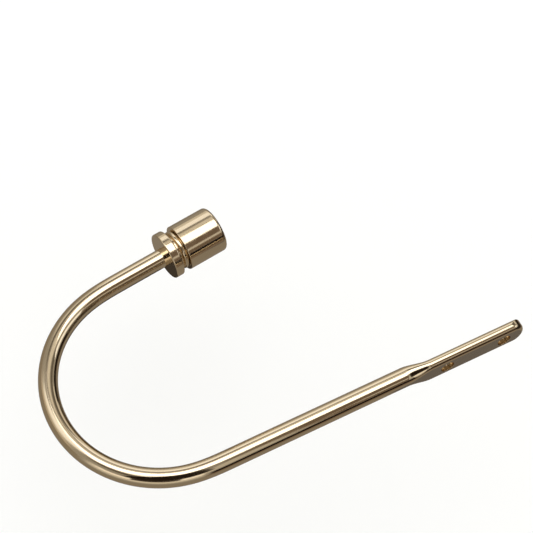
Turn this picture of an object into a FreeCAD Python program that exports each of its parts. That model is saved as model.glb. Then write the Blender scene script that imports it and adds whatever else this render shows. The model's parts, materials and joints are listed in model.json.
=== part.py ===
import FreeCAD, Part
import math
import os
import Sketcher
from FreeCAD import Vector

# Driving sizes in millimetres, with the bend's sweep in degrees.
driving_sizes = {
    # Round rod, bent to a hook
    "rod_diameter": 8.0,
    "long_arm": 85.0,
    "bend_radius": 46.0,
    "bend_sweep": 173.0,
    "short_arm": 30.0,
    # Forged flat at the wall, and the neck that leads into it
    "neck_length": 11.0,
    "neck_flat_start": 0.3,
    "flat_thickness": 4.7,
    "flat_width": 11.7,
    # Screw holes
    "hole_diameter": 5.8,
    "hole_spacing": 26.5,
    "hole_inset": 7.0,
    "hole_edge_break": 0.4,
    "tip_inset": 9.7,
    # Turned finial
    "collar_diameter": 20.4,
    "collar_thickness": 4.0,
    "collar_edge_break": 0.5,
    "groove_diameter": 14.0,
    "groove_width": 1.3,
    "bead_diameter": 17.2,
    "bead_width": 1.9,
    "bead_edge_break": 0.6,
    "bead_gap": 0.3,
    "knob_diameter": 20.0,
    "knob_length": 18.0,
    "knob_edge_break": 0.3,
    "knob_end_round": 1.5,
    "socket_depth": 12.0,
    "socket_clearance": 0.05,
}

# Shares of the neck's length at which its sections stand.
neck_stations = [0.0, 0.1, 0.3, 0.5, 0.7, 0.9, 1.0]

# Two lengths nearer than this are the same, in millimetres.
match_tolerance = 1e-4

# Places along the long arm, from the middle of the two screw holes.
rod_radius = "(sizes.rod_diameter / 2)"
hole_radius = "(sizes.hole_diameter / 2)"
half_spacing = "(sizes.hole_spacing / 2)"
flat_start = f"(-{half_spacing} - sizes.hole_inset)"
neck_start = f"({flat_start} - sizes.neck_length)"
bend_start = f"({neck_start} - sizes.long_arm)"
tip_centre = f"({half_spacing} + sizes.tip_inset - sizes.flat_width / 2)"

# The short arm leaves the bend at the opening angle and carries the finial at its seat.
opening = "((180 - sizes.bend_sweep) * 1 deg)"
seat_x = f"({bend_start} - sizes.bend_radius * sin({opening}) + sizes.short_arm * cos({opening}))"
seat_y = (
    f"({rod_radius} + sizes.bend_radius * (1 + cos({opening}))"
    f" + sizes.short_arm * sin({opening}))"
)

# Sizes along and across the finial, from the collar's back face on its own axis.
collar_radius = "(sizes.collar_diameter / 2)"
groove_radius = "(sizes.groove_diameter / 2)"
bead_radius = "(sizes.bead_diameter / 2)"
knob_radius = "(sizes.knob_diameter / 2)"
socket_radius = f"({rod_radius} + sizes.socket_clearance)"
collar_front = "sizes.collar_thickness"
bead_back = f"({collar_front} + sizes.groove_width)"
bead_front = f"({bead_back} + sizes.bead_width)"
knob_back = f"({bead_front} + sizes.bead_gap)"
knob_front = f"({knob_back} + sizes.knob_length)"


def make_sheet(doc):
    sheet = doc.addObject("Spreadsheet::Sheet", "sizes")
    for row, (name, value) in enumerate(driving_sizes.items(), start=1):
        sheet.set(f"A{row}", name)
        sheet.set(f"B{row}", str(value))
        sheet.setAlias(f"B{row}", name)
    doc.recompute()


def make_body(doc, name):
    body = doc.addObject("PartDesign::Body", name)
    body.Label = name
    return body


def make_sketch(body, name, plane, offset=None):
    sketch = body.newObject("Sketcher::SketchObject", name)
    support = next(item for item in body.Origin.OriginFeatures if item.Role == plane)
    sketch.AttachmentSupport = [(support, "")]
    sketch.MapMode = "FlatFace"
    if offset:
        sketch.setExpression("AttachmentOffset.Base.z", offset)
    return sketch


def number(sketch, expression):
    return float(sketch.evalExpression(expression))


def bind(sketch, name, expression, kind, *where):
    value = sketch.evalExpression(expression)
    index = sketch.addConstraint(Sketcher.Constraint(kind, *where, value))
    sketch.renameConstraint(index, name)
    sketch.setExpression(f"Constraints.{name}", expression)


def constrain(sketch, *rules):
    for kind, *where in rules:
        sketch.addConstraint(Sketcher.Constraint(kind, *where))


def arc(centre, radius, start, end):
    circle = Part.Circle(Vector(*centre, 0), Vector(0, 0, 1), radius)
    return Part.ArcOfCircle(circle, start, end)


def line(start, end):
    return Part.LineSegment(Vector(*start, 0), Vector(*end, 0))


# Sketch references: the origin point, the two axes, and a curve's start, end and centre.
origin = (-1, 1)
h_axis = -1
v_axis = -2
start, end, centre = 1, 2, 3


def rod_path(body):
    # Long arm, bend and short arm, drawn in the hook's level plane.
    sketch = make_sketch(body, "rod_path", "XY_Plane")
    radius = number(sketch, "sizes.bend_radius")
    turn = math.radians(number(sketch, "sizes.bend_sweep"))
    level = number(sketch, rod_radius)
    x_neck = number(sketch, neck_start)
    x_bend = number(sketch, bend_start)
    x_end = x_bend - radius * math.sin(turn)
    y_end = level + radius * (1 - math.cos(turn))
    reach = number(sketch, "sizes.short_arm + sizes.socket_depth")
    free_end = (x_end - reach * math.cos(turn), y_end + reach * math.sin(turn))
    sketch.addGeometry(line((x_neck, level), (x_bend, level)))
    sketch.addGeometry(arc((x_bend, level + radius), radius, 1.5 * math.pi - turn, 1.5 * math.pi))
    sketch.addGeometry(line((x_end, y_end), free_end))
    constrain(
        sketch,
        ("Horizontal", 0),
        ("Tangent", 0, end, 1, end),
        ("Tangent", 2, start, 1, start),
    )
    bind(sketch, "neck", f"-{neck_start}", "DistanceX", 0, start, *origin)
    bind(sketch, "level", rod_radius, "DistanceY", *origin, 0, start)
    bind(sketch, "long_arm", "sizes.long_arm", "DistanceX", 0, end, 0, start)
    bind(sketch, "bend", "sizes.bend_radius", "Radius", 1)
    bind(sketch, "short_arm", "sizes.short_arm + sizes.socket_depth", "Distance", 2)
    bind(sketch, "opening", opening, "Angle", 2)
    return sketch


def rod_section(body):
    sketch = make_sketch(body, "rod_section", "YZ_Plane", neck_start)
    radius = number(sketch, rod_radius)
    sketch.addGeometry(Part.Circle(Vector(radius, 0, 0), Vector(0, 0, 1), radius))
    constrain(sketch, ("PointOnObject", 0, centre, h_axis))
    bind(sketch, "level", rod_radius, "DistanceX", *origin, 0, centre)
    bind(sketch, "rod", "sizes.rod_diameter", "Diameter", 0)
    return sketch


def round_neck_section(body):
    # The rod's circle in four arcs: the two short ones widen into the flat's faces.
    sketch = make_sketch(body, "neck_section_0", "YZ_Plane", neck_start)
    radius = number(sketch, rod_radius)
    half_flat = "(sizes.neck_flat_start / 2)"
    lean = math.asin(number(sketch, half_flat) / radius)
    middle = (radius, 0)
    sketch.addGeometry(arc(middle, radius, lean, math.pi - lean))
    sketch.addGeometry(arc(middle, radius, math.pi - lean, math.pi + lean))
    sketch.addGeometry(arc(middle, radius, math.pi + lean, 2 * math.pi - lean))
    sketch.addGeometry(arc(middle, radius, -lean, lean))
    constrain(
        sketch,
        ("Coincident", 0, centre, 1, centre),
        ("Coincident", 0, centre, 2, centre),
        ("Coincident", 0, end, 1, start),
        ("Coincident", 1, end, 2, start),
        ("Coincident", 2, end, 3, start),
        ("Coincident", 3, end, 0, start),
        ("Equal", 0, 3),
        ("PointOnObject", 0, centre, h_axis),
        ("Horizontal", 0, start, 0, end),
        ("Horizontal", 2, start, 2, end),
    )
    bind(sketch, "level", rod_radius, "DistanceX", *origin, 0, centre)
    bind(sketch, "rod", rod_radius, "Radius", 0)
    bind(sketch, "upper_half", half_flat, "DistanceY", *origin, 1, start)
    bind(sketch, "lower_half", half_flat, "DistanceY", 1, end, *origin)
    return sketch


def flattened_section(body, name, station, radius, face):
    # Two half-round edges joined by two faces, the near one on the wall's plane.
    sketch = make_sketch(body, name, "YZ_Plane", station)
    r = number(sketch, radius)
    half_face = f"({face} / 2)"
    a = number(sketch, half_face)
    sketch.addGeometry(arc((r, a), r, 0, math.pi))
    sketch.addGeometry(line((0, a), (0, -a)))
    sketch.addGeometry(arc((r, -a), r, math.pi, 2 * math.pi))
    sketch.addGeometry(line((2 * r, -a), (2 * r, a)))
    constrain(
        sketch,
        ("Tangent", 0, end, 1, start),
        ("Tangent", 1, end, 2, start),
        ("Tangent", 2, end, 3, start),
        ("Tangent", 3, end, 0, start),
        ("Vertical", 1),
        ("Equal", 0, 2),
        ("PointOnObject", 1, start, v_axis),
    )
    bind(sketch, "edge", radius, "Radius", 0)
    bind(sketch, "upper_half", half_face, "DistanceY", *origin, 1, start)
    bind(sketch, "lower_half", half_face, "DistanceY", 1, end, *origin)
    return sketch


def neck_sections(body):
    # From round to flat along the neck, slow at both ends.
    sections = [round_neck_section(body)]
    for index, share in enumerate(neck_stations[1:], start=1):
        press = share * share * (3 - 2 * share)
        station = f"({neck_start} + sizes.neck_length * {share})"
        radius = f"({rod_radius} + (sizes.flat_thickness - sizes.rod_diameter) / 2 * {press})"
        full_face = "(sizes.flat_width - sizes.flat_thickness)"
        face = f"(sizes.neck_flat_start + ({full_face} - sizes.neck_flat_start) * {press})"
        sections.append(flattened_section(body, f"neck_section_{index}", station, radius, face))
    return sections


def tip_section(body):
    # Half of the flat's section, turned about the middle of its rounded end.
    sketch = make_sketch(body, "tip_section", "YZ_Plane", tip_centre)
    thickness = number(sketch, "sizes.flat_thickness")
    half_face = "((sizes.flat_width - sizes.flat_thickness) / 2)"
    a = number(sketch, half_face)
    sketch.addGeometry(line((0, 0), (thickness, 0)))
    sketch.addGeometry(line((thickness, 0), (thickness, a)))
    sketch.addGeometry(arc((thickness / 2, a), thickness / 2, 0, math.pi))
    sketch.addGeometry(line((0, a), (0, 0)))
    constrain(
        sketch,
        ("Coincident", 0, end, 1, start),
        ("Tangent", 1, end, 2, start),
        ("Tangent", 2, end, 3, start),
        ("Coincident", 3, end, 0, start),
        ("Coincident", 0, start, *origin),
        ("Horizontal", 0),
        ("Vertical", 1),
        ("Vertical", 3),
    )
    bind(sketch, "edge", "sizes.flat_thickness / 2", "Radius", 2)
    bind(sketch, "half_face", half_face, "DistanceY", 3, end, 3, start)
    return sketch


def hole_sketch(body):
    sketch = make_sketch(body, "screw_hole_places", "XZ_Plane")
    radius = number(sketch, hole_radius)
    reach = number(sketch, half_spacing)
    for x in (-reach, reach):
        sketch.addGeometry(Part.Circle(Vector(x, 0, 0), Vector(0, 0, 1), radius))
    constrain(
        sketch,
        ("PointOnObject", 0, centre, h_axis),
        ("PointOnObject", 1, centre, h_axis),
        ("Equal", 0, 1),
    )
    bind(sketch, "first_hole", half_spacing, "DistanceX", 0, centre, *origin)
    bind(sketch, "second_hole", half_spacing, "DistanceX", *origin, 1, centre)
    bind(sketch, "hole", hole_radius, "Radius", 0)
    return sketch


def same(first, second):
    return abs(first - second) < match_tolerance


def circle_edges(feature, radius, places):
    # Names of the circular edges of one radius, at the given places along the body's own X.
    names = []
    for index, edge in enumerate(feature.Shape.Edges, start=1):
        curve = edge.Curve
        if curve.TypeId != "Part::GeomCircle" or not same(curve.Radius, number(feature, radius)):
            continue
        if any(same(curve.Center.x, number(feature, place)) for place in places):
            names.append(f"Edge{index}")
    return names


def finish_edges(body, kind, name, radius, places, size):
    # A Fillet or a Chamfer on round edges, by its Radius or its Size.
    base = body.Tip
    edges = body.newObject(f"PartDesign::{kind}", name)
    edges.Base = (base, circle_edges(base, radius, places))
    edges.setExpression({"Fillet": "Radius", "Chamfer": "Size"}[kind], size)
    body.Document.recompute()


def make_hook_rod(doc):
    body = make_body(doc, "hook_rod")

    rod = body.newObject("PartDesign::AdditivePipe", "bent_rod")
    rod.Profile = rod_section(body)
    rod.Spine = (rod_path(body), ["Edge1", "Edge2", "Edge3"])
    doc.recompute()

    sections = neck_sections(body)
    neck = body.newObject("PartDesign::AdditiveLoft", "forged_neck")
    neck.Profile = sections[0]
    neck.Sections = sections[1:]
    doc.recompute()

    flat = body.newObject("PartDesign::Pad", "forged_flat")
    flat.Profile = sections[-1]
    flat.setExpression("Length", f"{tip_centre} - {flat_start}")
    doc.recompute()

    tip = body.newObject("PartDesign::Revolution", "rounded_tip")
    section = tip_section(body)
    tip.Profile = section
    tip.ReferenceAxis = (section, ["H_Axis"])
    tip.Angle = 180
    doc.recompute()

    holes = body.newObject("PartDesign::Pocket", "screw_holes")
    holes.Profile = hole_sketch(body)
    holes.setExpression("Length", "sizes.flat_thickness")
    doc.recompute()

    hole_places = [f"-{half_spacing}", half_spacing]
    finish_edges(body, "Chamfer", "hole_edges", hole_radius, hole_places, "sizes.hole_edge_break")
    return body


def finial_profile(body):
    # Half section along the finial's axis: collar, groove, bead, knob and the rod's socket.
    sketch = make_sketch(body, "finial_profile", "XY_Plane")
    corners = [
        (None, socket_radius),
        (None, collar_radius),
        (collar_front, collar_radius),
        (collar_front, groove_radius),
        (bead_back, groove_radius),
        (bead_back, bead_radius),
        (bead_front, bead_radius),
        (bead_front, groove_radius),
        (knob_back, groove_radius),
        (knob_back, knob_radius),
        (knob_front, knob_radius),
        (knob_front, None),
        ("sizes.socket_depth", None),
        ("sizes.socket_depth", socket_radius),
    ]
    points = [[number(sketch, place) if place else 0 for place in corner] for corner in corners]
    following = points[1:] + points[:1]
    for here, there in zip(points, following):
        sketch.addGeometry(line(here, there))
    for index, (x_place, y_place) in enumerate(corners):
        constrain(sketch, ("Coincident", index, end, (index + 1) % len(corners), start))
        if x_place:
            bind(sketch, f"along_{index}", x_place, "DistanceX", *origin, index, start)
        else:
            constrain(sketch, ("PointOnObject", index, start, v_axis))
        if y_place:
            bind(sketch, f"radius_{index}", y_place, "DistanceY", *origin, index, start)
        else:
            constrain(sketch, ("PointOnObject", index, start, h_axis))
    return sketch


def make_finial(doc):
    body = make_body(doc, "finial")
    body.setExpression("Placement.Base.x", seat_x)
    body.setExpression("Placement.Base.y", seat_y)
    body.setExpression("Placement.Rotation.Angle", opening)

    turned = body.newObject("PartDesign::Revolution", "turned_finial")
    profile = finial_profile(body)
    turned.Profile = profile
    turned.ReferenceAxis = (profile, ["H_Axis"])
    turned.Angle = 360
    doc.recompute()

    collar_faces = ["0", collar_front]
    finish_edges(body, "Chamfer", "collar_edges", collar_radius, collar_faces, "sizes.collar_edge_break")
    bead_faces = [bead_back, bead_front]
    finish_edges(body, "Chamfer", "bead_edges", bead_radius, bead_faces, "sizes.bead_edge_break")
    finish_edges(body, "Chamfer", "knob_back_edge", knob_radius, [knob_back], "sizes.knob_edge_break")
    finish_edges(body, "Fillet", "knob_end_edge", knob_radius, [knob_front], "sizes.knob_end_round")
    return body


def check_and_export(doc, bodies):
    for item in doc.Objects:
        if {"Invalid", "Error"} & set(item.State):
            raise RuntimeError(f"{item.Label} failed: {item.State}")
    for body in bodies:
        if body.Shape.isNull() or not body.Shape.isValid():
            raise RuntimeError(f"{body.Label} has no valid shape")
    os.makedirs("parts", exist_ok=True)
    for body in bodies:
        body.Shape.exportStep(f"parts/{body.Label}.step")
        box = body.Shape.BoundBox
        print(
            f"{body.Label}: {len(body.Shape.Solids)} solid, {body.Shape.Volume:.1f} mm3,"
            f" {box.XLength:.2f} x {box.YLength:.2f} x {box.ZLength:.2f} mm"
        )


doc = FreeCAD.newDocument("curtain_holdback")
make_sheet(doc)
check_and_export(doc, [make_hook_rod(doc), make_finial(doc)])
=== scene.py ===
import json
import math
import bmesh
import bpy
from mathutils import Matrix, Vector


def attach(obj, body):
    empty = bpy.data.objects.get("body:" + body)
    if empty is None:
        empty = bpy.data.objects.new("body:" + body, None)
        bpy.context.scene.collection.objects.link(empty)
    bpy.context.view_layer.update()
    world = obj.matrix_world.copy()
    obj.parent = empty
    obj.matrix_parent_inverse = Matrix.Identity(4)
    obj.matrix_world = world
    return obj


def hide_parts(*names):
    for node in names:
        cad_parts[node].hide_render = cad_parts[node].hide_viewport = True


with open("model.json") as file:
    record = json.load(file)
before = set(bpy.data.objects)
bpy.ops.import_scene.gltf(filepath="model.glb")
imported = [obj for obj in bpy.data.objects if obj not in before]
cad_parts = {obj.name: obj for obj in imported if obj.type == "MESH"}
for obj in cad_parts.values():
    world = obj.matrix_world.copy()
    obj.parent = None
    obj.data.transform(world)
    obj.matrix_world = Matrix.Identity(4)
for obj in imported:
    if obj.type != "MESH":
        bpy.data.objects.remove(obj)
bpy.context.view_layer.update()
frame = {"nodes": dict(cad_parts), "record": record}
mm = 0.001
weldM = 1e-7  # vertices nearer than this are one
up = Vector((0, 0, 1))
print("frame loaded:", ", ".join(frame["nodes"]))


def hexToLinear(code):
    channels = [int(code[i:i + 2], 16) / 255 for i in (1, 3, 5)]
    linear = [c / 12.92 if c <= 0.04045 else ((c + 0.055) / 1.055) ** 2.4 for c in channels]
    return (*linear, 1.0)


def addNode(tree, kind, values=None, links=None):
    node = tree.nodes.new("ShaderNode" + kind)
    for key, value in (values or {}).items():
        if key in node.inputs:
            node.inputs[key].default_value = value
        else:
            setattr(node, key, value)
    for key, source in (links or {}).items():
        output = source.outputs[0] if hasattr(source, "outputs") else source  # a node gives its first output
        tree.links.new(output, node.inputs[key])
    return node


def newMaterial(name):
    material = bpy.data.materials.new(name)
    material.use_nodes = True
    material.node_tree.nodes.clear()
    return material, material.node_tree


patchFade = (0.35, 0.7)  # noise levels between which a softer patch comes in


def patchyPolish(tree, place, spec, detail=3.0):
    # Roughness that drifts between the best polish and softer patches.
    patches = addNode(
        tree, "TexNoise", {"Scale": 1 / (spec["patchMm"] * mm), "Detail": detail}, {"Vector": place})
    return addNode(
        tree, "MapRange",
        {"interpolation_type": "SMOOTHSTEP", "From Min": patchFade[0], "From Max": patchFade[1],
         "To Min": spec["polish"], "To Max": spec["softPatch"]}, {"Value": patches})


def toolLines(tree, place, alongMm, acrossMm):
    # Lines of this length and spacing, for what a die, a drill or a lathe leaves.
    stretch = addNode(
        tree, "Mapping", {"Scale": (1 / (alongMm * mm), 1 / (acrossMm * mm), 1)}, {"Vector": place})
    return addNode(tree, "TexNoise", {"Scale": 1.0, "Detail": 2.0}, {"Vector": stretch})


def plated(tree, colour, roughness, bump):
    shader = addNode(
        tree, "BsdfPrincipled", {"Base Color": hexToLinear(colour), "Metallic": 1.0},
        {"Roughness": roughness, "Normal": bump})
    addNode(tree, "OutputMaterial", links={"Surface": shader})


# Light gold plating, polished over drawn steel: near-mirror arms with faint draw lines, turning
# satin and finely speckled round the outside of the bend, where the stretched skin takes less polish.
rodPlating = dict(
    colour="#EDDABA", polish=0.08, softPatch=0.13, patchMm=9.0,
    bendStartMm=(125, 160), bendEndMm=(205, 245),  # distance along the rod
    outsideMm=(4.5, 8.5), undersideMm=(16.5, 20.5),  # distance round the rod
    bendSatin=0.09, speckleMm=0.45, speckleDepthMm=0.004, peelMm=1.6, peelDepthMm=0.003,
    lineAlongMm=21.0, lineAcrossMm=0.35, lineDepthMm=0.0006)  # coarser than real draw lines, to show


def polishedRodPlating(name, spec):
    material, tree = newMaterial(name)
    place = addNode(tree, "UVMap", {"uv_map": "lengthAndGirth"})
    body = addNode(tree, "TexCoord").outputs["Object"]
    along, girth = addNode(tree, "SeparateXYZ", links={"Vector": place}).outputs[:2]
    bend = None  # 1 on the outside of the bend, 0 elsewhere
    for source, limits, low, high in (
            (along, "bendStartMm", 0, 1), (along, "bendEndMm", 1, 0),
            (girth, "outsideMm", 0, 1), (girth, "undersideMm", 1, 0)):
        start, end = spec[limits]
        edge = addNode(
            tree, "MapRange",
            {"interpolation_type": "SMOOTHSTEP", "From Min": start * mm, "From Max": end * mm,
             "To Min": low, "To Max": high}, {"Value": source})
        bend = edge if bend is None else addNode(tree, "Math", {"operation": "MULTIPLY"}, {0: bend, 1: edge})
    satin = addNode(
        tree, "MapRange",
        {"interpolation_type": "SMOOTHSTEP", "From Min": 0, "From Max": 1,
         "To Min": 0, "To Max": spec["bendSatin"]}, {"Value": bend})
    polish = patchyPolish(tree, body, spec)
    roughness = addNode(tree, "Math", {"operation": "ADD"}, {0: polish, 1: satin})
    peel = addNode(tree, "TexNoise", {"Scale": 1 / (spec["peelMm"] * mm), "Detail": 1.0}, {"Vector": body})
    bump = addNode(tree, "Bump", {"Strength": 1.0, "Distance": spec["peelDepthMm"] * mm}, {"Height": peel})
    speckle = addNode(tree, "TexNoise", {"Scale": 1 / (spec["speckleMm"] * mm)}, {"Vector": body})
    speckle = addNode(tree, "Math", {"operation": "MULTIPLY"}, {0: speckle, 1: bend})
    bump = addNode(
        tree, "Bump", {"Strength": 1.0, "Distance": spec["speckleDepthMm"] * mm},
        {"Height": speckle, "Normal": bump})
    lines = toolLines(tree, place, spec["lineAlongMm"], spec["lineAcrossMm"])
    bump = addNode(
        tree, "Bump", {"Strength": 1.0, "Distance": spec["lineDepthMm"] * mm},
        {"Height": lines, "Normal": bump})
    plated(tree, spec["colour"], roughness, bump)
    return material


# The same plating on the pressed flat: satin, with the fine grain the die leaves along it, drawn
# coarser than real to show.
flatPlating = dict(
    colour="#EDDABA", polish=0.17, softPatch=0.26, patchMm=4.0,
    lineAlongMm=5.0, lineAcrossMm=0.3, lineDepthMm=0.004, grainMm=0.5, grainDepthMm=0.006)


def pressedFlatPlating(name, spec):
    material, tree = newMaterial(name)
    place = addNode(tree, "UVMap", {"uv_map": "lengthAndGirth"})
    roughness = patchyPolish(tree, place, spec)
    grain = addNode(tree, "TexNoise", {"Scale": 1 / (spec["grainMm"] * mm)}, {"Vector": place})
    bump = addNode(tree, "Bump", {"Strength": 1.0, "Distance": spec["grainDepthMm"] * mm}, {"Height": grain})
    lines = toolLines(tree, place, spec["lineAlongMm"], spec["lineAcrossMm"])
    bump = addNode(
        tree, "Bump", {"Strength": 1.0, "Distance": spec["lineDepthMm"] * mm},
        {"Height": lines, "Normal": bump})
    plated(tree, spec["colour"], roughness, bump)
    return material


# Plating in the drilled holes: its colour darker than the rest as painted shade inside the holes, and broken
# by the drill's rings, coarser than real to show.
boreShadedPlating = dict(
    colour="#D8C3A1", polish=0.11, softPatch=0.17, patchMm=1.2,
    ringAlongMm=0.3, ringAroundMm=20.0, ringDepthMm=0.0003)


def drilledBoreShadedPlating(name, spec):
    material, tree = newMaterial(name)
    place = addNode(tree, "UVMap", {"uv_map": "lengthAndGirth"})
    roughness = patchyPolish(tree, place, spec, detail=2.0)
    rings = toolLines(tree, place, spec["ringAlongMm"], spec["ringAroundMm"])
    bump = addNode(tree, "Bump", {"Strength": 1.0, "Distance": spec["ringDepthMm"] * mm}, {"Height": rings})
    # The darker colour here is painted shade inside the hole.
    plated(tree, spec["colour"], roughness, bump)
    return material


# The same plating on the turned finial: polished on the lathe, so fine rings soften its highlights.
finialPlating = dict(
    colour="#EDDABA", polish=0.11, softPatch=0.17, patchMm=6.0,
    ringAlongMm=0.3, ringAroundMm=30.0, ringDepthMm=0.0012)  # rings coarser than real, to show


def turnedFinialPlating(name, spec):
    material, tree = newMaterial(name)
    place = addNode(tree, "UVMap", {"uv_map": "lengthAndGirth"})
    body = addNode(tree, "TexCoord").outputs["Object"]
    roughness = patchyPolish(tree, body, spec)
    rings = toolLines(tree, place, spec["ringAlongMm"], spec["ringAroundMm"])
    bump = addNode(tree, "Bump", {"Strength": 1.0, "Distance": spec["ringDepthMm"] * mm}, {"Height": rings})
    plated(tree, spec["colour"], roughness, bump)
    return material


# Mesh helpers: rows of vertices, skinned with a UV of distance along and around, in metres.
def addRow(mesh, points):
    return [mesh.verts.new(Vector(point) * mm) for point in points]


def skin(mesh, rows, closed):
    uv = mesh.loops.layers.uv.verify()
    faces = []
    alongA = 0.0
    for rowA, rowB in zip(rows, rows[1:]):
        alongB = alongA + max((a.co - b.co).length for a, b in zip(rowA, rowB))
        around = 0.0
        count = len(rowA) if closed else len(rowA) - 1
        for i in range(count):
            j = (i + 1) % len(rowA)
            girth = around + (rowA[i].co - rowA[j].co).length
            face = mesh.faces.new((rowA[i], rowA[j], rowB[j], rowB[i]))
            corners = ((alongA, around), (alongA, girth), (alongB, girth), (alongB, around))
            for loop, corner in zip(face.loops, corners):
                loop[uv].uv = corner
            faces.append(face)
            around = girth
        alongA = alongB
    return faces


def addObject(mesh, name, materials):
    data = bpy.data.meshes.new(name)
    mesh.to_mesh(data)
    mesh.free()
    for material in materials:
        data.materials.append(material)
    made = bpy.data.objects.new(name, data)
    bpy.context.scene.collection.objects.link(made)
    return made


def makePiece(mesh, name, node, materials):
    bmesh.ops.recalc_face_normals(mesh, faces=mesh.faces)
    piece = addObject(mesh, name, materials)
    piece.data.uv_layers[0].name = "lengthAndGirth"
    piece.data.polygons.foreach_set("use_smooth", [True] * len(piece.data.polygons))
    piece.modifiers.new("evenNormals", "WEIGHTED_NORMAL").weight = 100  # large faces lead
    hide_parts(node)
    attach(piece, "root")
    return piece


# Hook rod, in millimetres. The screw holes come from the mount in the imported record.
screws = next(m for m in frame["record"]["mounts"] if m["name"] == "wall_screws")["dims"]
hookRod = dict(
    diameter=8.0, longArm=85.0, bendRadius=46.0, bendSweep=173.0, bendEase=18.0,
    shortArm=30.0, socketDepth=12.0,
    neckLength=11.0, flatThickness=4.7, flatWidth=11.7, holeInset=7.0, tipInset=9.7,
    tipRoundWall=2.0, tipRoundRoom=0.6, tipCornerRound=1.5,
    holeSpacing=screws["spacing_x_mm"], holeRadius=screws["hole_r_mm"], holeRound=0.15,
    arcSteps=44, faceSteps=8, armRings=40, bendRings=170, neckRings=40,
    flatSteps=12, tipSteps=60, lipSteps=6, boreSteps=64)
hookRod["flatStart"] = -hookRod["holeSpacing"] / 2 - hookRod["holeInset"]  # neck meets flat
hookRod["neckStart"] = hookRod["flatStart"] - hookRod["neckLength"]  # round rod meets neck
hookRod["bendStart"] = hookRod["neckStart"] - hookRod["longArm"]
hookRod["tipCentre"] = hookRod["holeSpacing"] / 2 + hookRod["tipInset"] - hookRod["flatWidth"] / 2


def pressedSection(radius, face, spec):
    # Two half-round edges joined by two faces, as (out from the wall, up) pairs.
    arc, flat = spec["arcSteps"], spec["faceSteps"]
    upper = [math.pi * i / arc for i in range(arc + 1)]
    steps = [face * (0.5 - i / flat) for i in range(1, flat)]
    points = [(radius * (1 + math.cos(a)), face / 2 + radius * math.sin(a)) for a in upper]
    points += [(0.0, z) for z in steps]
    points += [(radius * (1 - math.cos(a)), -face / 2 - radius * math.sin(a)) for a in upper]
    points += [(2 * radius, -z) for z in steps]
    return points


def finialSeat(rod):
    # Where the collar's back face meets the rod, the way the short arm runs, and the way out of the hook.
    opening = math.radians(180 - rod["bendSweep"])
    onward = Vector((math.cos(opening), math.sin(opening), 0))
    side = Vector((-math.sin(opening), math.cos(opening), 0))
    bendCentre = Vector((rod["bendStart"], rod["diameter"] / 2 + rod["bendRadius"], 0))
    return bendCentre + side * rod["bendRadius"] + onward * rod["shortArm"], onward, side


def rodSections(spec):
    # Rings along the rod: centre, direction to the hook's inside, edge radius and width of the flat.
    radius = spec["diameter"] / 2
    edge = spec["flatThickness"] / 2
    face = spec["flatWidth"] - spec["flatThickness"]
    sections = []
    for i in range(spec["neckRings"] + 1):
        share = 1 - i / spec["neckRings"]
        press = share * share * (3 - 2 * share)
        r = radius + (edge - radius) * press
        x = spec["neckStart"] + spec["neckLength"] * share
        sections.append((Vector((x, r, 0)), Vector((0, 1, 0)), r, face * press))

    ease = spec["bendEase"]
    straight = spec["longArm"] - ease / 2
    for i in range(1, spec["armRings"] + 1):
        x = spec["neckStart"] - straight * i / spec["armRings"]
        sections.append((Vector((x, radius, 0)), Vector((0, 1, 0)), radius, 0.0))

    sweep = math.radians(spec["bendSweep"])
    # Easing moves an arc in by ease squared over 24 radii, so a tighter arc keeps both arms in line.
    tight = spec["bendRadius"] - ease ** 2 / (24 * spec["bendRadius"])
    bendLength = tight * sweep + ease
    step = bendLength / spec["bendRings"]

    def turnAt(walked):
        left = bendLength - walked
        if walked < ease:
            return walked ** 2 / (2 * ease * tight)
        if left < ease:
            return sweep - left ** 2 / (2 * ease * tight)
        return (walked - ease / 2) / tight

    here = sections[-1][0]
    for i in range(spec["bendRings"]):
        heading = turnAt((i + 0.5) * step)
        turn = turnAt((i + 1) * step)
        here = here + Vector((-math.cos(heading), math.sin(heading), 0)) * step
        sections.append((here, Vector((math.sin(turn), math.cos(turn), 0)), radius, 0.0))

    seat, onward, side = finialSeat(spec)
    reach = (seat - here).dot(onward) + spec["socketDepth"]
    count = spec["armRings"] // 2
    for i in range(1, count + 1):
        sections.append((here + onward * (reach * i / count), -side, radius, 0.0))
    return sections


def tipPoint(spec, y, half, lean):
    # Point of the trimmed tip that faces along lean, at a height where the flat is this wide.
    roll = spec["tipRoundWall"] if y < spec["flatThickness"] / 2 else spec["tipRoundRoom"]
    inset = max(0.0, roll - min(y, spec["flatThickness"] - y))
    trim = spec["flatWidth"] / 2 - roll + math.sqrt(roll ** 2 - inset ** 2)
    corner = spec["tipCornerRound"]
    reach = math.sqrt(max(0.0, (trim - corner) ** 2 - (half - corner) ** 2))
    if abs(lean) > math.atan2(half - corner, reach):
        x = reach + corner * math.cos(lean)
        z = math.copysign(half - corner, lean) + corner * math.sin(lean)
    else:
        x = trim * math.cos(lean)
        z = trim * math.sin(lean)
    return (spec["tipCentre"] + x, y, z)


def rimRows(spec):
    # Edge of the flat: half-round along its top, trimmed round at the tip, half-round back along its foot.
    edge = spec["flatThickness"] / 2
    face = spec["flatWidth"] - spec["flatThickness"]
    angles = [math.pi * i / spec["arcSteps"] for i in range(spec["arcSteps"] + 1)]
    rim = [(edge * (1 + math.cos(a)), face / 2 + edge * math.sin(a)) for a in angles]
    run = spec["tipCentre"] - spec["flatStart"]
    places = [spec["flatStart"] + run * i / spec["flatSteps"] for i in range(spec["flatSteps"])]
    leans = [math.pi * (0.5 - i / spec["tipSteps"]) for i in range(spec["tipSteps"] + 1)]
    rows = [[(x, y, half) for y, half in rim] for x in places]
    rows += [[tipPoint(spec, y, half, lean) for y, half in rim] for lean in leans]
    rows += [[(x, y, -half) for y, half in rim] for x in reversed(places)]
    return rows


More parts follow.
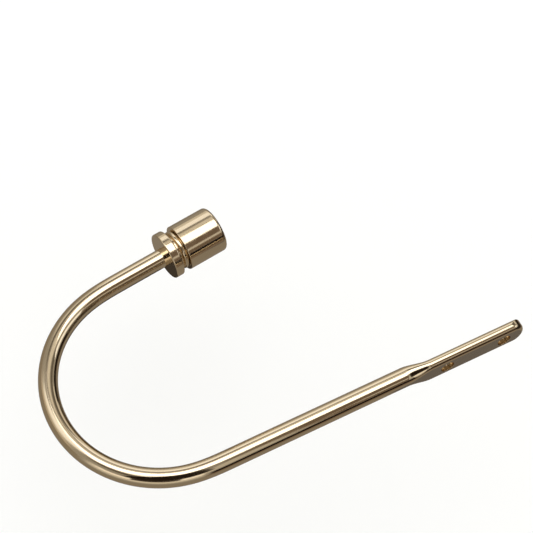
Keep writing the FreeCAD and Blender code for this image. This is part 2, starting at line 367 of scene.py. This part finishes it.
def boreProfile(spec):
    # Hole from the wall side to the room side, as (radius, out from the wall) pairs, with rounded lips.
    lip = spec["holeRound"]
    mouth = [math.pi / 2 * i / spec["lipSteps"] for i in range(spec["lipSteps"] + 1)]
    profile = [(spec["holeRadius"] + lip * (1 - math.sin(a)), lip * (1 - math.cos(a))) for a in mouth]
    return profile + [(r, spec["flatThickness"] - y) for r, y in reversed(profile)]


def fillFlat(mesh, level, outward):
    uv = mesh.loops.layers.uv.verify()
    outline = [e for e in mesh.edges
               if e.is_boundary and all(abs(v.co.y - level) < weldM for v in e.verts)]
    filled = bmesh.ops.triangle_fill(mesh, use_beauty=True, edges=outline, normal=(0, outward, 0))
    for item in filled["geom"]:
        if isinstance(item, bmesh.types.BMFace):
            item.material_index = 1  # pressed flat
            for loop in item.loops:
                loop[uv].uv = loop.vert.co.xz


def buildHookRod(spec):
    mesh = bmesh.new()
    rings = []
    for centre, inside, r, width in rodSections(spec):
        outline = pressedSection(r, width, spec)
        rings.append(addRow(mesh, [centre + inside * (out - r) + up * z for out, z in outline]))
    skin(mesh, rings, closed=True)
    mesh.faces.new(rings[-1])
    skin(mesh, [addRow(mesh, row) for row in rimRows(spec)], closed=False)

    turns = [2 * math.pi * i / spec["boreSteps"] for i in range(spec["boreSteps"])]
    for x in (-spec["holeSpacing"] / 2, spec["holeSpacing"] / 2):
        rows = []
        for r, y in boreProfile(spec):
            rows.append(addRow(mesh, [(x + r * math.cos(a), y, r * math.sin(a)) for a in turns]))
        for face in skin(mesh, rows, closed=True):
            face.material_index = 2  # drilled bore

    bmesh.ops.remove_doubles(mesh, verts=mesh.verts, dist=weldM)
    fillFlat(mesh, 0.0, -1)
    fillFlat(mesh, spec["flatThickness"] * mm, 1)
    return mesh


rodFinish = polishedRodPlating("polished light gold plating on drawn steel", rodPlating)
flatFinish = pressedFlatPlating("satin light gold plating on a pressed flat", flatPlating)
boreShadedFinish = drilledBoreShadedPlating("thin light gold plating in a drilled hole", boreShadedPlating)
rodPiece = makePiece(
    buildHookRod(hookRod), "hookRodPlated", "hook_rod", [rodFinish, flatFinish, boreShadedFinish])
print("hook rod:", len(rodPiece.data.polygons), "faces")


# Turned finial, in millimetres from the collar's back face: place along, radius, edge round.
finial = dict(
    profile=[
        (0.0, 4.05, 0.1), (0.0, 10.2, 0.5), (4.0, 10.2, 0.7), (4.0, 7.0, 0.1),  # collar
        (5.3, 7.0, 0.1), (5.3, 8.6, 0.8), (7.2, 8.6, 0.6), (7.2, 7.0, 0.05),  # bead in the groove
        (7.5, 7.0, 0.05), (7.5, 10.0, 0.25), (25.5, 10.0, 1.5), (25.5, 0.0, 0.0),  # knob
        (12.0, 0.0, 0.0), (12.0, 4.05, 0.1)],  # socket
    roundSteps=8, turnSteps=192)


def roundedProfile(corners, steps):
    points = []
    for i, (x, r, size) in enumerate(corners):
        here = Vector((x, r))
        before = (Vector(corners[i - 1][:2]) - here).normalized()
        after = (Vector(corners[(i + 1) % len(corners)][:2]) - here).normalized()
        if not size:
            points.append(here)
            continue
        half = before.angle(after) / 2
        reach = size / math.tan(half)
        centre = here + (before + after).normalized() * (size / math.sin(half))
        spokeA = here + before * reach - centre
        sweep = spokeA.angle_signed(here + after * reach - centre)
        for k in range(steps + 1):
            turn = -sweep * k / steps
            points.append(centre + Vector((
                spokeA.x * math.cos(turn) - spokeA.y * math.sin(turn),
                spokeA.x * math.sin(turn) + spokeA.y * math.cos(turn))))
    return points


def buildFinial(spec, rod):
    mesh = bmesh.new()
    seat, onward, side = finialSeat(rod)
    turns = [2 * math.pi * i / spec["turnSteps"] for i in range(spec["turnSteps"])]
    profile = roundedProfile(spec["profile"], spec["roundSteps"])
    rows = []
    for x, r in profile + profile[:1]:
        centre = seat + onward * x
        rows.append(addRow(mesh, [centre + (side * math.cos(a) + up * math.sin(a)) * r for a in turns]))
    skin(mesh, rows, closed=True)
    bmesh.ops.remove_doubles(mesh, verts=mesh.verts, dist=weldM)
    bmesh.ops.dissolve_degenerate(mesh, edges=mesh.edges, dist=weldM / 10)
    return mesh


finialFinish = turnedFinialPlating("polished light gold plating on a turned finial", finialPlating)
finialPiece = makePiece(
    buildFinial(finial, hookRod), "finialPlated", "finial", [finialFinish])
print("finial:", len(finialPiece.data.polygons), "faces")


# Pale floor, well below: the holdback hangs on its wall screws, so the floor stays clear of it.
floor = dict(
    colour="#FCFCFA", dropMm=80.0, spreadM=8.0, cells=8, toothMm=0.8, toothDepthMm=0.1, toothStrength=0.1)


def mattPaper(name, spec):
    # Matt white paper: even and bright, with a fine tooth.
    material, tree = newMaterial(name)
    tooth = addNode(tree, "TexNoise", {"Scale": 1 / (spec["toothMm"] * mm)})
    bump = addNode(
        tree, "Bump", {"Strength": spec["toothStrength"], "Distance": spec["toothDepthMm"] * mm},
        {"Height": tooth})
    shader = addNode(tree, "BsdfDiffuse", {"Color": hexToLinear(spec["colour"])}, {"Normal": bump})
    addNode(tree, "OutputMaterial", links={"Surface": shader})
    return material


def buildFloor(spec):
    mesh = bmesh.new()
    bmesh.ops.create_grid(mesh, x_segments=spec["cells"], y_segments=spec["cells"], size=spec["spreadM"] / 2)
    piece = addObject(mesh, "paleFloor", [mattPaper("matt white paper sweep", spec)])
    piece.location.z = -spec["dropMm"] * mm
    piece.visible_glossy = False  # the cards below stand in for it in the polish


buildFloor(floor)

# Studio: white surroundings, with cards that only the polish shows. Each card is a piece of a
# sphere round the hook: azimuth from the front towards +X, elevation, width and height in
# degrees, distance in metres, brightness and tint.
cardCentreMm = Vector((-60, 50, 0))
cardCell = 6  # degrees
cards = dict(
    roomShade=(0, 38, 360, 104, 1.60, 0.32, "#FFF9EE"),
    footLeft=(-135, -2, 96, 22, 1.50, 0.25, "#FFEFD9"),
    leftShade=(-80, 57, 40, 14, 1.45, 0.11, "#FFEBD6"),
    backShade=(111, 38, 46, 20, 1.50, 0.14, "#FFF3E2"),
    backDark=(180, 52, 30, 10, 1.38, 0.10, "#FFF3E2"),
    windowLeft=(-125, 50, 40, 24, 1.40, 1.12, "#FFFFFF"),
    windowLeftMid=(-122, 33, 36, 12, 1.41, 0.85, "#FFFCF7"),
    windowLeftFoot=(-118, 19, 44, 16, 1.42, 0.51, "#FFF1DD"),
    windowRight=(66, 32.5, 42, 19, 1.40, 1.12, "#FFFFFF"),
    windowBack=(157, 33.5, 40, 21, 1.40, 1.05, "#FFFFFF"),
    windowBackEnd=(-174, 34, 20, 16, 1.40, 0.62, "#FFF9EE"),
    windowBackFoot=(142, 17, 76, 17, 1.42, 0.66, "#FFF9EE"),
    skirtBack=(106, 60.5, 120, 12, 1.42, 0.68, "#FFF9EE"),
    softLeft=(-82, 75, 52, 15, 1.10, 1.0, "#FFFFFF"),
    frontGlow=(-42, 14.5, 78, 31, 1.40, 0.62, "#FFF9EE"),
    glowLeft=(-64, 21, 24, 14, 1.38, 1.0, "#FFFAF2"),
    glowRight=(-11, 21, 18, 14, 1.38, 1.0, "#FFFAF2"),
    frontSlit=(6, 34, 14, 28, 1.35, 0.52, "#FFF9EE"),
    frontBrown=(28.5, 38, 31, 50, 1.34, 0.15, "#FFDFC2"),
    frontLine=(30, 32, 25, 9, 1.32, 0.58, "#FFF9EE"),
    cameraShade=(-28, 54, 62, 46, 1.20, 0.015, "#FFCFA8"),
    cameraFoot=(-35, 24, 34, 16, 1.20, 0.04, "#FFDFC2"),
    sideShade=(56, 2, 112, 20, 1.20, 0.01, "#FFCFA8"),
    frontFoot=(14, -13, 32, 14, 1.22, 0.19, "#FFDFC2"),
    sideShadeFoot=(88, -13, 118, 18, 1.22, 0.05, "#FFDFC2"))
levelCards = dict(
    overheadSoftbox=dict(placeMm=(-10, 137, 1000), sizeMm=(1000, 540), turn=150, level=2.2, tint="#FFFFFF"),
    tableTan=dict(placeMm=(-60, 50, -500), sizeMm=(5000, 5000), turn=0, level=0.25, tint="#FFF3E2"),
    plateShade=dict(placeMm=(14, -26, -45), sizeMm=(76, 40), turn=0, level=0.14, tint="#FFF8F6"),
    collarShade=dict(placeMm=(-108, 97, -34), sizeMm=(44, 34), turn=0, level=0.05, tint="#FFEBD6"))


def cardGlow(name, level, tint):
    # Even glow, for a card that the polish shows as a plain patch of light or shade.
    material, tree = newMaterial(name)
    glow = addNode(tree, "Emission", {"Color": hexToLinear(tint), "Strength": level})
    addNode(tree, "OutputMaterial", links={"Surface": glow})
    return material


def addCard(mesh, name, level, tint):
    card = addObject(mesh, name, [cardGlow("card " + name, level, tint)])
    card.visible_camera = False
    card.visible_diffuse = False
    card.visible_shadow = False
    card.visible_transmission = False
    return card


def buildCard(name, spec):
    azimuth, elevation, width, height, distance, level, tint = spec
    mesh = bmesh.new()
    across = max(2, int(width / cardCell))
    tall = max(2, int(height / cardCell))
    rows = []
    for i in range(tall + 1):
        lift = math.radians(elevation + height * (i / tall - 0.5))
        row = []
        for j in range(across + 1):
            turn = math.radians(azimuth + width * (j / across - 0.5))
            ray = Vector((math.sin(turn) * math.cos(lift), -math.cos(turn) * math.cos(lift), math.sin(lift)))
            row.append(cardCentreMm + ray * (distance / mm))
        rows.append(addRow(mesh, row))
    skin(mesh, rows, closed=False)
    addCard(mesh, name, level, tint)


def buildLevelCard(name, spec):
    mesh = bmesh.new()
    bmesh.ops.create_grid(mesh, x_segments=1, y_segments=1, size=0.5)
    card = addCard(mesh, name, spec["level"], spec["tint"])
    card.location = Vector(spec["placeMm"]) * mm
    card.scale = (*(v * mm for v in spec["sizeMm"]), 1)
    card.rotation_euler.z = math.radians(spec["turn"])


for name, spec in cards.items():
    buildCard(name, spec)
for name, spec in levelCards.items():
    buildLevelCard(name, spec)

floorLamp = dict(energy=1.7, sizeM=1.2, placeM=(0.2, 0.3, 1.5))  # lifts the floor to white
lampData = bpy.data.lights.new("floorLamp", "AREA")
lampData.energy = floorLamp["energy"]
lampData.size = floorLamp["sizeM"]
lamp = bpy.data.objects.new("floorLamp", lampData)
lamp.location = floorLamp["placeM"]
lamp.rotation_euler = lamp.location.to_track_quat("Z", "Y").to_euler()
lamp.visible_glossy = False
bpy.context.scene.collection.objects.link(lamp)

world = bpy.data.worlds.new("white studio")
world.use_nodes = True
world.node_tree.nodes.clear()
walls = addNode(world.node_tree, "Background", {"Color": hexToLinear("#FFFFFF"), "Strength": 1.0})
addNode(world.node_tree, "OutputWorld", links={"Surface": walls})
bpy.context.scene.world = world
bpy.context.scene.view_settings.view_transform = "Standard"
print("studio:", len(cards) + len(levelCards), "cards")

# Camera at the photograph's viewing angle.
view = dict(azimuth=-27.272, elevation=58.362, distanceMm=677.92, aimMm=(-56.21, 75.47, 0.0), lens=109.894)
turn = math.radians(view["azimuth"])
lift = math.radians(view["elevation"])
back = Vector((math.sin(turn) * math.cos(lift), -math.cos(turn) * math.cos(lift), math.sin(lift)))
cameraData = bpy.data.cameras.new("productCamera")
cameraData.lens = view["lens"]
camera = bpy.data.objects.new("productCamera", cameraData)
camera.location = (Vector(view["aimMm"]) + back * view["distanceMm"]) * mm
camera.rotation_euler = (-back).to_track_quat("-Z", "Y").to_euler()
bpy.context.scene.collection.objects.link(camera)
bpy.context.scene.camera = camera
